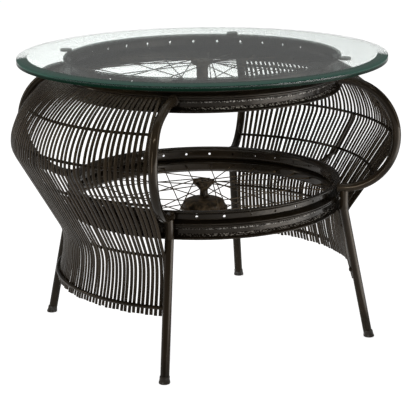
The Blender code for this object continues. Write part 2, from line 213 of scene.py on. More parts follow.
class RimTableSettings(bpy.types.PropertyGroup):
    """All settings of the table"""

    glass: PointerProperty(type=GlassSettings)
    rims: PointerProperty(type=RimSettings)
    wheels: PointerProperty(type=WheelSettings)
    tubes: PointerProperty(type=TubeSettings)
    curtains: PointerProperty(type=CurtainSettings)
    finish: PointerProperty(type=FinishSettings)
    stage: PointerProperty(type=StageSettings)


# Shapes as arrays of points


def unit(vectors):
    """Vectors scaled to length 1."""
    return vectors / np.linalg.norm(vectors, axis=-1, keepdims=True)


def around(azimuth, radius, height, aside=0.0):
    """Points at a radius and height in the upright plane at an azimuth, moved aside square to that plane."""
    azimuth, radius, height, aside = np.broadcast_arrays(azimuth, radius, height, aside)
    x = radius * np.cos(azimuth) - aside * np.sin(azimuth)
    y = radius * np.sin(azimuth) + aside * np.cos(azimuth)
    return np.stack([x, y, height], -1)


def eased(corners, cut, steps, closed=False):
    """Line through corners, each bent as the quadratic curve between points a cut before and after it."""
    corners = np.asarray(corners, float)
    before, after = np.roll(corners, 1, 0) - corners, np.roll(corners, -1, 0) - corners
    reach = np.minimum(np.linalg.norm(before, axis=1), np.linalg.norm(after, axis=1)) * 0.48
    reach = np.minimum(reach, cut)[:, None]
    t = np.linspace(0, 1, steps)[None, :, None]
    start, end = (corners + unit(before) * reach)[:, None], (corners + unit(after) * reach)[:, None]
    bent = (1 - t) ** 2 * start + 2 * t * (1 - t) * corners[:, None] + t**2 * end
    if closed:
        return bent.reshape(-1, corners.shape[1])
    inner = bent[1:-1].reshape(-1, corners.shape[1])
    return np.concatenate([corners[:1], inner, corners[-1:]])


def evenly(path, points):
    """Same line through points spaced evenly along its length."""
    run = np.concatenate([[0.0], np.cumsum(np.linalg.norm(np.diff(path, axis=0), axis=1))])
    at = np.linspace(0, run[-1], points)
    return np.stack([np.interp(at, run, path[:, axis]) for axis in range(path.shape[1])], -1)


def swept(paths, aside, radius, sides, square=2.0, flat=1.0):
    """Tubes: a ring carried square to each path, with the outline |x|^square + |y|^square = radius^square.

    Each path lies in a plane, aside is that plane's unit normal, and flat scales the ring within the plane.
    """
    paths = np.asarray(paths, float)
    along = unit(np.gradient(paths, axis=-2))
    aside = np.broadcast_to(np.asarray(aside, float)[..., None, :], along.shape)
    lift = flat * np.cross(aside, along)
    turn = 2 * np.pi * (np.arange(sides) + 0.5) / sides
    size = (np.abs(np.cos(turn)) ** square + np.abs(np.sin(turn)) ** square) ** (-1 / square)
    reach = np.broadcast_to(radius, paths.shape[:-1])[..., None, None] * size[:, None]
    spread = np.cos(turn)[:, None] * lift[..., None, :] + np.sin(turn)[:, None] * aside[..., None, :]
    return paths[..., None, :] + reach * spread


def blunt(path, radius, ease):
    """Path and radii with an extra ring near each end, so that the end's edge is rounded by an ease."""
    first, last = unit(path[1] - path[0]) * ease, unit(path[-2] - path[-1]) * ease
    path = np.concatenate([path[:1], path[:1] + first, path[1:-1], path[-1:] + last, path[-1:]])
    radii = np.full(len(path), radius)
    radii[[0, -1]] = radius - ease
    return path, radii


def turned(profile, segments):
    """Surface turned about Z from a line of (radius, height)."""
    return around(full_turn(segments), profile[:, :1], profile[:, 1:])


def full_turn(steps):
    """Even angles of one full turn."""
    return 2 * np.pi * np.arange(steps) / steps


def grid_faces(index):
    """Corners of the faces between neighbours in a grid of point numbers."""
    return np.stack([index[:-1, :-1], index[:-1, 1:], index[1:, 1:], index[1:, :-1]], -1)


def upright(azimuth):
    """Unit normal of the upright plane at an azimuth."""
    return around(azimuth, 0.0, 0.0, 1.0)


def off_axis(place):
    """Distance of a place from the table's axis."""
    return math.hypot(place.x, place.y)


class Skin:
    """Points and faces of one piece, gathered from closed bodies."""

    def __init__(self):
        self.points, self.quads, self.fans, self.strands = [], [], [], []
        self.count = 0

    def add(self, grids, ring=False, strand=0.0):
        """Adds bodies of rows by columns: columns close on themselves, and rows do too or end in a fan."""
        grids = np.asarray(grids, float)
        grids = grids[None] if grids.ndim == 3 else grids
        bodies, rows, columns, _ = grids.shape
        index = np.arange(rows * columns).reshape(rows, columns)
        index = np.hstack([index, index[:, :1]])
        points = grids.reshape(bodies, -1, 3)
        fans = np.zeros((0, 3), int)
        if ring:
            index = np.vstack([index, index[:1]])
        else:
            ends = np.stack([grids[:, 0].mean(1), grids[:, -1].mean(1)], 1)
            points = np.concatenate([points, ends], 1)
            pole = np.full(columns, rows * columns)
            fans = np.concatenate([
                np.stack([pole, index[0, 1:], index[0, :-1]], -1),
                np.stack([pole + 1, index[-1, :-1], index[-1, 1:]], -1),
            ])
        quads = grid_faces(index).reshape(-1, 4)
        corners = points[0][quads]
        halves = np.concatenate([corners[:, :3], corners[:, [0, 2, 3]], points[0][fans]])
        if np.linalg.det(halves).sum() < 0:
            quads, fans = quads[:, ::-1], fans[:, ::-1]
        size = points.shape[1]
        shift = (self.count + size * np.arange(bodies))[:, None, None]
        self.points.append(points.reshape(-1, 3))
        self.quads.append((quads[None] + shift).reshape(-1, 4))
        self.fans.append((fans[None] + shift).reshape(-1, 3))
        values = np.broadcast_to(strand, (bodies, rows))
        values = np.concatenate([np.repeat(values, columns, 1), values[:, [0, -1]]], 1)
        self.strands.append(values[:, :size].ravel())
        self.count += bodies * size
        return self

    def mesh(self, name):
        """New mesh of all bodies, with the strand value of each point as an attribute."""
        made = bpy.data.meshes.new(name)
        faces = np.concatenate(self.quads).tolist() + np.concatenate(self.fans).tolist()
        made.from_pydata(np.concatenate(self.points), [], faces)
        strands = made.attributes.new("strand", "FLOAT", "POINT")
        strands.data.foreach_set("value", np.concatenate(self.strands).astype(np.float32))
        return made


def disc_stack(outline, centre, sides, azimuth):
    """Level discs of (radius, height) on each other at an azimuth, about centres at their own radii."""
    radius, height = outline[:, :1], outline[:, 1:]
    centre = np.broadcast_to(centre, len(outline))[:, None]
    turn = full_turn(sides)
    return Skin().add(around(azimuth, centre + radius * np.cos(turn), height, radius * np.sin(turn)))


def stand(name, data, at=(0.0, 0.0, 0.0), axes=np.eye(3)):
    """New object at a place, turned so that its own axes are the three given."""
    made = bpy.data.objects.new(name, data)
    bpy.context.scene.collection.objects.link(made)
    turn = np.eye(4)
    turn[:3, :3] = np.stack(axes, -1)
    turn[:3, 3] = at
    made.matrix_world = Matrix(turn.tolist())
    return made


def place(name, shape, look, *nodes, body="frame", slot="iron", sharp=38.0):
    """Puts a shape into the scene as a piece with a finish that rides on a body and stands for CAD nodes."""
    mesh = shape.mesh(name) if isinstance(shape, Skin) else shape
    mesh.materials.append(bpy.data.materials[look])
    mesh.shade_smooth()
    mesh.set_sharp_from_angle(angle=math.radians(sharp))
    piece = stand(name, mesh)
    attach(piece, body)
    if nodes:
        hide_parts(*nodes)
    return piece


# Finishes


class Wire:
    """One socket of a node tree. Arithmetic on it adds Math nodes."""

    def __init__(self, tree, socket=None):
        self.tree, self.socket = tree, socket

    def node(self, kind, settings, inputs, output=0):
        """New node of a kind, with its settings first and then its inputs as values or wires."""
        made = self.tree.nodes.new(kind)
        for key, value in settings.items():
            setattr(made, key, value)
        for key, value in inputs.items():
            if isinstance(value, Wire):
                self.tree.links.new(value.socket, made.inputs[key])
            else:
                made.inputs[key].default_value = value
        return Wire(self.tree, made.outputs[output])

    def math(self, operation, first, second=0.0):
        """Math node on numbers."""
        return self.node("ShaderNodeMath", {"operation": operation}, {0: first, 1: second})

    def vector(self, operation, first, second=(0.0, 0.0, 0.0)):
        """Vector Math node, read as a number where its operation gives one."""
        output = 1 if operation in ("DOT_PRODUCT", "LENGTH") else 0
        return self.node("ShaderNodeVectorMath", {"operation": operation}, {0: first, 1: second}, output)

    def __add__(self, other):
        return self.math("ADD", self, other)

    def __sub__(self, other):
        return self.math("SUBTRACT", self, other)

    def __rsub__(self, other):
        return self.math("SUBTRACT", other, self)

    def __mul__(self, other):
        return self.math("MULTIPLY", self, other)

    __radd__ = __add__
    __rmul__ = __mul__

    def band(self, low, high):
        """0 below low, 1 above high and smooth between."""
        ramp = {"interpolation_type": "SMOOTHSTEP"}
        return self.node("ShaderNodeMapRange", ramp, {"Value": self, "From Min": low, "From Max": high})

    def mix(self, first, second):
        """Colour between two colours, with this wire as the share of the second."""
        inputs = {0: self, 6: first, 7: second}
        return self.node("ShaderNodeMix", {"data_type": "RGBA"}, inputs, 2)


class Finish:
    """New material with its shader, and the textures that the finishes share."""

    def __init__(self, name, **constants):
        self.material = bpy.data.materials.new(name)
        self.material.use_nodes = True
        self.tree = self.material.node_tree
        self.shader = self.tree.nodes["Principled BSDF"]
        for key, value in constants.items():
            self.shader.inputs[key.replace("_", " ").title().replace("Ior", "IOR")].default_value = value
        self.wire = Wire(self.tree)
        self.place = self.wire.node("ShaderNodeTexCoord", {}, {}, "Object")

    def noise(self, scale, detail=2.0, stretch=WHITE):
        """Noise over the object's own place, which can be stretched along its axes."""
        inputs = {"Vector": self.place, "Scale": stretch}
        at = self.wire.node("ShaderNodeMapping", {"vector_type": "POINT"}, inputs)
        inputs = {"Vector": at, "Scale": scale, "Detail": detail}
        return self.wire.node("ShaderNodeTexNoise", {}, inputs)

    def strand(self):
        """Strand value of the surface."""
        return self.wire.node("ShaderNodeAttribute", {"attribute_name": "strand"}, {}, "Fac")

    def feed(self, **wires):
        """Links wires to inputs of the shader."""
        for key, value in wires.items():
            self.tree.links.new(value.socket, self.shader.inputs[key.replace("_", " ").title()])

    def bump(self, height, strength, distance):
        """Bends the surface's normal by a height."""
        inputs = {"Height": height, "Strength": strength, "Distance": distance}
        self.feed(normal=self.wire.node("ShaderNodeBump", {}, inputs))


def colour(values, share=1.0):
    """Opaque colour, lighter or darker by a share."""
    return (*(share * value for value in values), 1.0)


def enamelled(name, finish, roughness, coat, mirrors=0.14):
    """Dark enamel that mirrors little light, and that little in a warm tint, under a thin clear coat."""
    sheen = {"specular_ior_level": mirrors, "specular_tint": colour(finish.sheen_tint)}
    return Finish(name, roughness=roughness, coat_weight=coat, coat_roughness=0.04, **sheen)


def tube_enamel(finish):
    """Bronze-black enamel on tube: slow browner clouds, orange peel and a few worn flecks."""
    made = enamelled("tube_enamel", finish, 0.16, 0.20)
    cloud = made.noise(7.0, 4.0).band(0.38, 0.66)
    fleck_and_glint = made.noise(620.0, 1.0).band(0.69, 0.74) * made.noise(22.0).band(0.5, 0.7)
    base = cloud.mix(colour(finish.enamel), colour(finish.enamel_warm))
    made.feed(base_color=(fleck_and_glint * 0.1).mix(base, colour(finish.fleck_and_glint)))
    made.feed(roughness=made.noise(45.0, 3.0) * 0.14 + 0.10)
    made.bump(made.noise(260.0, 2.0), 0.04, 0.0005)


def rod_enamel(finish):
    """Brown enamel on rod: each rod a little lighter or darker, with streaks drawn along it."""
    made = enamelled("rod_enamel", finish, 0.26, 0.05, mirrors=0.22)
    streak = made.noise(420.0, 2.0, (1.0, 1.0, 0.06)).band(0.42, 0.72)
    patch = made.noise(18.0, 3.0).band(0.35, 0.7)
    share = made.strand() * 0.55 + patch * 0.3 + streak * 0.25
    made.feed(base_color=share.mix(colour(finish.enamel), colour(finish.enamel_warm, 1.8)))
    made.feed(roughness=streak * 0.16 + 0.26)
    made.bump(streak, 0.06, 0.0004)


# Painted glints on the rims: the way to the side that faces the light, how far along it they start and are
# full, the heights of their rows above each rim pair, and the depth of the outer surface that carries them.
GLINT_SIDE_WAY = (0.14, -0.99, 0.0)
GLINT_SIDE_FROM, GLINT_SIDE_FULL = 0.66 * RIM_RADIUS, 0.86 * RIM_RADIUS
GLINT_ROWS = (0.0075, 0.019)
GLINT_DEPTH = 0.015


def rim_enamel(finish):
    """Enamel over old chrome, with two rows of bright flecks round each pair of rims: painted glints, on the
    front-right side that faces the light, with faint random patches elsewhere.

    They run along the lower lip and beside the joint, and fade out in smoother, glossier stretches.
    """
    made = enamelled("rim_enamel", finish, 0.15, 0.22)
    cloud = made.noise(6.0, 4.0).band(0.4, 0.65)
    base = cloud.mix(colour(finish.enamel), colour(finish.enamel_warm))
    side = made.wire.vector("DOT_PRODUCT", made.place, GLINT_SIDE_WAY)
    patch = made.noise(9.0, 2.0).band(0.40, 0.56)
    # The side that faces the light, where the painted glints go, with faint random patches elsewhere.
    glint_side = made.wire.math("MAXIMUM", side.band(GLINT_SIDE_FROM, GLINT_SIDE_FULL), patch * 0.2)
    height = made.wire.node("ShaderNodeSeparateXYZ", {}, {0: made.place}, "Z")
    # Rows of the painted glints along each pair of rims.
    rows = 0.0
    for level in LEVELS:
        low = min(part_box(f"{level}_{kind}_rim")[0].z for kind in ("bare", "laced"))
        for rise in GLINT_ROWS:
            gap = made.wire.math("ABSOLUTE", height - (low + rise))
            rows = rows + (1.0 - gap.band(0.0008, 0.0024))
    flat = made.wire.vector("MULTIPLY", made.place, (1.0, 1.0, 0.0))
    outer = RIM_RADIUS - GLINT_DEPTH
    rows = rows * made.wire.vector("LENGTH", flat).band(outer - 0.0005, outer + 0.0005)
    # Painted glints: bright flecks mixed into the colour in rows on the lit side, standing in for highlights.
    fleck_and_glint = made.noise(300.0, 2.0, (1.0, 1.0, 1.6)).band(0.52, 0.60) * glint_side * rows
    made.feed(base_color=(fleck_and_glint * 0.8).mix(base, colour(finish.fleck_and_glint)))
    made.feed(roughness=made.noise(60.0, 3.0) * 0.12 + fleck_and_glint * 0.06 + 0.10)
    knobs = made.noise(150.0, 1.0, (1.0, 1.0, 1.8)).band(0.5, 0.76) * glint_side
    made.bump(knobs * (rows + 0.25), 0.5, 0.0025)


def hub_enamel(finish):
    """Dull enamel on cast and turned steel, with turning rings and clouds of browner dust."""
    made = enamelled("hub_enamel", finish, 0.4, 0.1)
    dust = made.noise(90.0, 4.0).band(0.3, 0.8)
    rings = made.noise(900.0, 1.0, (0.05, 0.05, 1.0))
    made.feed(base_color=dust.mix(colour(finish.enamel), colour(finish.enamel_warm, 7.0)))
    made.feed(roughness=dust * 0.2 + rings * 0.1 + 0.26)
    made.bump(rings + made.noise(240.0, 2.0) * 0.6, 0.12, 0.0005)


def clear_glass(settings):
    """Clear float glass. On the bevel and the upright edge, met from outside, an opaque green is painted: the
    glass's own green body, painted as the light that the sheet carries along to its edge.

    The edge shows this painted light from any side, and the bevel under a slanting look, when it sends light
    along the sheet; it is lighter beside the flat and darker at the edge.
    """
    made = Finish("clear_glass", base_color=colour(WHITE), roughness=0.0, ior=1.5, transmission_weight=1.0)
    part = made.strand()
    facing = made.wire.node("ShaderNodeLayerWeight", {}, {"Blend": 0.5}, "Facing")
    slant = facing.band(0.22, 0.5) * (1.0 - facing.band(0.835, 0.855))
    outside = 1.0 - made.wire.node("ShaderNodeNewGeometry", {}, {}, "Backfacing")
    # Share of the painted green: the upright edge from any side, and the bevel under a slanting look.
    edge = part.band(0.7, 0.9)
    deep = part.band(0.32, 0.58)
    bevel = part.band(0.15, 0.28) * (slant * (deep * 0.3 + 0.53) + 0.12)
    share = made.wire.math("MAXIMUM", edge, bevel) * outside
    # Painted light along the sheet: lighter beside the flat, deep towards the edge, mottled by a cloud.
    cloud = made.noise(14.0, 3.0) * 0.6 + 0.4
    body = (deep * cloud).mix(colour(settings.painted_bevel_inside), colour(settings.painted_bevel_outside))
    body = edge.mix(body, colour(settings.painted_edge_green))
    green = {"Base Color": body, "Roughness": 0.06, "Specular IOR Level": 0.04}
    green = made.wire.node("ShaderNodeBsdfPrincipled", {}, green)
    clear = Wire(made.tree, made.shader.outputs[0])
    both = made.wire.node("ShaderNodeMixShader", {}, {0: share, 1: clear, 2: green})
    inputs = {"Color": colour(settings.absorption), "Density": settings.density}
    tinted = made.wire.node("ShaderNodeVolumeAbsorption", {}, inputs)
    output = made.tree.nodes["Material Output"].inputs
    made.tree.links.new(both.socket, output["Surface"])
    made.tree.links.new(tinted.socket, output["Volume"])


def grey_rubber(finish):
    """Matt rubber with a fine grain and chalky bloom."""
    made = Finish("grey_rubber", roughness=0.7)
    bloom = made.noise(120.0, 3.0).band(0.4, 0.7)
    made.feed(base_color=bloom.mix(colour(finish.rubber), colour(finish.rubber, 1.7)))
    made.feed(roughness=bloom * 0.15 + 0.6)
    made.bump(made.noise(900.0, 2.0), 0.2, 0.0004)


def cap_rubber(finish):
    """Dark foot cap, scuffed paler in patches."""
    made = Finish("cap_rubber", roughness=0.55)
    scuff = made.noise(160.0, 4.0).band(0.5, 0.72)
    made.feed(base_color=(scuff * 0.6).mix(colour(finish.enamel_warm), colour(finish.rubber)))
    made.feed(roughness=scuff * 0.2 + 0.42)
    made.bump(made.noise(700.0, 2.0), 0.2, 0.0004)


# Pieces

CORE = 0.001
GLASS_CORE, GLASS_SHARP, ARRIS = 0.004, 1.7, 0.0008
PAD_RADIUS, PAD_OUT, PAD_DROP, PAD_EASE = 0.0125, 0.005, 0.003, 0.0008
WELL_HALF, BED_HALF, SIDE_DEPTH, LIP, ROUNDING = 0.0055, 0.0075, 0.008, 0.0032, 0.0014
FLANGE, BARREL, BORE = 0.005, 0.012, 0.0053
STAGGER, NIPPLE = 0.0014, 0.0022
DRUM_TOP, DRUM_SHOULDER = 0.003, 0.014
NECK, NECK_FLARE, DUST_CAP = 0.0085, 0.0125, 0.0105
AXLE_RADIUS, AXLE_TAIL, NUT_FLAT = 0.0047, 0.012, 0.0073
LEAN_FROM = 0.6
BOW_STEM = 0.0065
WELD_OUT, BEAD = 0.0006, 0.0018
SOCKET_RADIUS, SOCKET_RISE, SOCKET_EASE = 0.009, 0.004, 0.0009
LEG_STEP, LEG_TUCK, LEG_KNEE = 0.0012, 0.006, 0.0031
CAP_SOLE, CAP_RISE, CAP_COLLAR, CAP_TUCK, CAP_EASE = 0.0115, 0.002, 0.001, 0.003, 0.0016
OUTSET = {"front_right": (0.004, 0.0024)}
PEG_HEIGHT = 0.1447
PEG_REACH = np.array([0.003, 0.0102, 0.0124, 0.0137, 0.0142])
PEG_RADII = np.array([0.006, 0.006, 0.0052, 0.0034, 0.0012])
RAIL_HALF, RAIL_PAST = 0.0039, 0.009
HOOP_GAP, HOOP_EASE = 0.004, 0.0006


def glass_profile(settings):
    """Outline of the glass from the middle of its underside round its edge and bevel to that of its top.

    Beside it stands the part that each point is of: 1 on the upright edge, less on the bevel, 0 on the flats.
    """
    radius, low, high = glass_high.x, glass_low.z - settings.settle, glass_high.z - settings.settle
    edge = low + settings.edge_height
    corners = [
        (GLASS_CORE, low),
        (radius, low),
        (radius, edge),
        (radius - settings.bevel_width, high),
        (GLASS_CORE, high),
    ]
    profile = eased(corners, ARRIS, 3)
    # These parts also grade the painted green, from the deep upright edge to the lighter bevel.
    part = np.array([0.0, 0.0, 1.0, 1.0, 0.74, 0.68, 0.6, 0.3, 0.3, 0.0, 0.0])
    return profile, part


def rim_rows(rims):
    """Rows of a rim's section as (depth from the lip, height), from eased corners mirrored about its middle.

    Beside them stand the numbers of the rows of the well floor and of the bed, which a spoke hole meets.
    """
    half = RIM_WIDTH / 2
    corners = [
        (rims.well_depth, 0.0),
        (rims.well_depth, WELL_HALF),
        (0.0, half - LIP),
        (0.0, half),
        (SIDE_DEPTH, half),
        (rims.bed_depth, BED_HALF),
        (rims.bed_depth, 0.0),
    ]
    upper = eased(corners, ROUNDING, 5)[1:-1]
    lower = upper[::-1] * (1, -1)
    steps = rims.hole_radius * np.linspace(-1, 1, 5)
    floor = np.stack([np.full(5, rims.well_depth), steps], -1)
    bed = np.stack([np.full(5, rims.bed_depth), -steps], -1)
    rows = np.concatenate([floor, upper, bed, lower])
    return rows, np.arange(5), np.arange(5)[::-1] + 5 + len(upper)


def plain_rim(rims, low):
    """Rim turned from its section, with no open holes."""
    rows, _, _ = rim_rows(rims)
    profile = np.stack([RIM_RADIUS - rows[:, 0], low + RIM_WIDTH / 2 + rows[:, 1]], -1)
    return Skin().add(turned(profile, 256), ring=True)


def drilled_rim(name, rims, low, start):
    """Rim with an open hole at every spoke place.

    Rows of the section by columns round the rim. At each hole a block of four by four cells is left out of
    the well floor and of the bed, its outline is drawn onto a circle, and a wall joins the two circles.
    """
    rows, floor, bed = rim_rows(rims)
    pitch = 2 * np.pi / rims.holes
    reach = rims.hole_radius / (RIM_RADIUS - rims.well_depth)
    near = np.linspace(-1, 1, 5) * reach
    column = np.concatenate([near, np.linspace(reach, pitch - reach, 10)[1:-1]])
    turn = (np.arange(rims.holes)[:, None] * pitch + column).ravel()
    depth, height = (np.repeat(rows[:, i : i + 1], len(turn), 1) for i in range(2))
    turn = np.repeat(turn[None], len(rows), 0)
    block_j, block_i = np.meshgrid(np.arange(-2, 3), np.arange(-2, 3), indexing="ij")
    outline = np.maximum(abs(block_j), abs(block_i)) == 2
    bearing = np.arctan2(block_j, block_i)
    first = np.arange(rims.holes) * len(column)
    for band in (floor, bed):
        at = band[block_j[outline] + 2][:, None]
        to = block_i[outline][:, None] + 2 + first
        height[at, to] = (rims.hole_radius * np.sin(bearing[outline]))[:, None]
        turn[at, to] = pitch * np.arange(rims.holes) + (reach * np.cos(bearing[outline]))[:, None]
    points = around(start + turn, RIM_RADIUS - depth, low + RIM_WIDTH / 2 + height).reshape(-1, 3)
    index = np.arange(turn.size).reshape(turn.shape)
    closed = np.vstack([index, index[:1]])
    closed = np.hstack([closed, closed[:, :1]])
    keep = np.ones(turn.shape, bool)
    cells = first[:, None] + np.arange(4)
    for band in (floor, bed):
        keep[np.ix_(np.sort(band)[:4], cells.ravel())] = False
    quads = grid_faces(closed)[keep]
    order = np.argsort(bearing[outline])
    loop_j, loop_i = block_j[outline][order] + 2, block_i[outline][order] + 2
    inner, outer = (index[band[loop_j][:, None], loop_i[:, None] + first] for band in (floor, bed))
    wall = np.stack([inner, np.roll(inner, -1, 0), np.roll(outer, -1, 0), outer], -1).reshape(-1, 4)
    quads = np.concatenate([quads, wall])
    used, faces = np.unique(quads, return_inverse=True)
    mesh = bpy.data.meshes.new(name)
    mesh.from_pydata(points[used], [], faces.reshape(-1, 4).tolist())
    facing = bmesh.new()
    facing.from_mesh(mesh)
    bmesh.ops.recalc_face_normals(facing, faces=facing.faces)
    facing.to_mesh(mesh)
    facing.free()
    return mesh


def plain_hub(wheels, middle):
    """Outline of the plain hub: two flanges on a barrel, with dust caps round the axle."""
    top, bottom = middle + wheels.flange_rise, middle - wheels.flange_rise
    half, web = FLANGE / 2, 2 * FLANGE
    corners = [
        (BORE, bottom - half),
        (wheels.flange_radius, bottom - half),
        (wheels.flange_radius, bottom + half),
        (BARREL, bottom + web),
        (BARREL, top - web),
        (wheels.flange_radius, top - half),
        (wheels.flange_radius, top + half),
        (BORE, top + half),
    ]
    return eased(corners, 0.0011, 5, closed=True)


def drum_hub(wheels, middle):
    """Outline of the drum hub: cupped flange, slim barrel, and a domed drum with a wide spoke flange."""
    half = FLANGE / 2
    cup, flange = middle + wheels.cup_rise, middle - wheels.drum_drop
    shoulder, top = middle - DRUM_SHOULDER, middle - DRUM_TOP
    lip, drum = wheels.flange_radius, wheels.drum_radius
    corners = [
        (BORE, flange - half),
        (wheels.drum_flange, flange - half),
        (wheels.drum_flange, flange + half),
        (drum + 0.001, flange + half),
        (drum, shoulder),
        (drum * 0.92, shoulder + 0.0055),
        (drum * 0.72, top - 0.002),
        (drum * 0.5, top),
        (NECK_FLARE, top + 0.0006),
        (NECK + 0.0003, top + 0.004),
        (NECK, cup - 0.017),
        (NECK_FLARE, cup - 0.0125),
        (lip - 0.002, cup - half - 0.001),
        (lip, cup - half),
        (lip, cup + half),
        (lip - 0.0025, cup + half),
        (lip - 0.004, cup + half - 0.0022),
        (DUST_CAP + 0.0015, cup + half - 0.003),
        (DUST_CAP, cup + half),
        (BORE, cup + half),
    ]
    return eased(corners, 0.0012, 5, closed=True)


def spoke_lines(wheels, rims, middle, flanges):
    """Ends of the spokes of both flanges: each leaves its hole and meets the rim a few holes further on."""
    each = rims.holes // 2
    hole = np.arange(each)
    way = np.where(hole % 2, 1, -1)
    starts, ends = [], []
    for index, (radius, rise) in enumerate(flanges):
        at_hub = 2 * np.pi / each * (hole + index / 2)
        at_rim = at_hub + way * wheels.crosses * 2 * np.pi / each
        shift = way * STAGGER
        starts.append(around(at_hub, radius - 0.0028, middle + rise + 1.9 * shift))
        ends.append(around(at_rim, RIM_RADIUS - rims.bed_depth + 0.0005, middle + shift))
    return np.concatenate(starts), np.concatenate(ends)


def lacing(wheels, rims, middle, flanges):
    """Spokes as wires with a head at the flange and a nipple at the rim, by one row of radii for them all."""
    starts, ends = spoke_lines(wheels, rims, middle, flanges)
    run_out = np.linalg.norm(ends - starts, axis=1)[:, None]
    wire = wheels.spoke_radius
    head = np.array([0.0, 0.0004, 0.0016, 0.0022, 0.004])
    tail = np.array([0.0134, 0.0132, 0.0034, 0.003, 0.0])
    run = np.concatenate([np.broadcast_to(head, (len(run_out), 5)), run_out - tail], 1)
    radii = np.array([wire, 1.7 * wire, 1.8 * wire, 1.1 * wire, wire])
    radii = np.concatenate([radii, [wire, 0.75 * NIPPLE, 0.85 * NIPPLE, 1.15 * NIPPLE, 1.15 * NIPPLE]])
    along = unit(ends - starts)
    paths = starts[:, None] + run[..., None] * along[:, None]
    aside = unit(np.cross(along, UP))
    return Skin().add(swept(paths, aside, radii, 8))


def axle_skin(node):
    """Axle with a threaded tail and a six-sided nut: the nut's radius follows its flats round the axle."""
    low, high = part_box(node)
    radius, nut_low = AXLE_RADIUS, low.z + AXLE_TAIL
    crest = radius - 0.0005 * (np.arange(25) % 2)
    crest[0] = radius - 0.0012
    tail = np.stack([crest, np.linspace(low.z, nut_low, 25)], -1)
    upper = [(radius, nut_low), (radius, high.z - 0.0006), (radius - 0.0006, high.z)]
    skin = Skin().add(turned(np.concatenate([tail, upper]), 24))
    turn = full_turn(48)
    flat = np.cos((turn + np.pi / 6) % (np.pi / 3) - np.pi / 6)
    heights = nut_low + np.array([0.0, 0.0007, 0.0052, 0.006])[:, None]
    chamfer = NUT_FLAT + np.array([0.0003, 0.0012, 0.0012, 0.0003])[:, None]
    return skin.add(around(turn, np.minimum(NUT_FLAT / flat, chamfer), heights))


def bow_line(tubes, points=72):
    """Line of a bow as (radius, height): half a circle with a level stem at each end."""
    centre = RIM_RADIUS + BOW_STEM
    turn = np.linspace(np.pi / 2, -np.pi / 2, points)
    arc = np.stack([np.cos(turn), np.sin(turn)], -1) * tubes.bow_radius + (centre, tubes.bow_height)
    ends = arc[[0, -1]] - (BOW_STEM, 0.0)
    return np.concatenate([ends[:1], arc, ends[1:]])


def bead_ring(centre, across, over, radius, bead):
    """Weld bead: a small ring carried round a circle, swelling and shrinking as it goes."""
    turn = full_turn(64)
    size = bead * (1 + 0.16 * np.sin(19 * turn) + 0.1 * np.sin(7 * turn + 1.0))
    out = np.cos(turn)[:, None] * across + np.sin(turn)[:, None] * over
    small = full_turn(10)
    axis = np.cross(across, over)
    ring = np.cos(small)[:, None] * out[:, None] + np.sin(small)[:, None] * axis
    return centre + radius * out[:, None] + size[:, None, None] * ring


ROD_START = (0.0083, 0.54815)
ROD_PULLS = ((0.066, 0.526), (0.114, 0.466), (0.1125, 0.408))
WAISTS = {"right": (0.010, 0.254), "left": (0.0105, 0.2275)}
ROD_FALL = {"right": ((0.0155, 0.180), (0.0315, 0.122)), "left": ((0.0125, 0.180), (0.0255, 0.122))}
ROD_BLEND, ROD_EASE = 0.018, 0.030
HOOPS = {
    "right": {"shoulder": 0.496, "bulge": 0.417, "shelf": 0.341, "waist": 0.235},
    "left": {"shoulder": 0.496, "bulge": 0.430, "shelf": 0.356, "waist": 0.238},
}
HEM_HOOP = 0.138
FAN_TOP, FAN_LOW = 0.40, 0.30
FAN_SHARE = {"left": 1.0, "right": 0.0}
RIB_KNEE = 0.331


def rod_line(side, points=72):
    """Line of a rod as (radius, height): a cubic curve over the shoulder, then eased bends to the hem."""
    t = np.linspace(0, 1, 24)[:, None]
    start, pull, swing, bulge = (np.array(p) for p in (ROD_START, *ROD_PULLS))
    curve = (1 - t) ** 3 * start + 3 * t * (1 - t) ** 2 * pull + 3 * t**2 * (1 - t) * swing + t**3 * bulge
    upper = curve[curve[:, 1] > bulge[1] + ROD_BLEND]
    corners = np.array([upper[-1], bulge, WAISTS[side], *ROD_FALL[side]])
    bends = eased(corners, ROD_EASE, 9)
    path = np.concatenate([upper[:-1], bends])
    return evenly(path, points) + (RIM_RADIUS, 0.0)


def on_rod(side, height, depth):
    """Point of the rod line at a height, moved in square to the line by a depth."""
    path = rod_line(side, 400)
    out = unit(np.gradient(path, axis=0))[:, ::-1] * (-1, 1)
    up = path[::-1, 1]
    at = np.array([np.interp(height, up, path[::-1, axis]) for axis in range(2)])
    normal = unit(np.array([np.interp(height, up, out[::-1, axis]) for axis in range(2)]))
    return at - normal * depth


def arc_line(radius, height, side, half_span, points=49):
    """Level arc at a radius and a height, to both sides of the middle of a curtain."""
    azimuth = SIDES[side] + np.linspace(-half_span, half_span, points)
    return around(azimuth, radius, height)


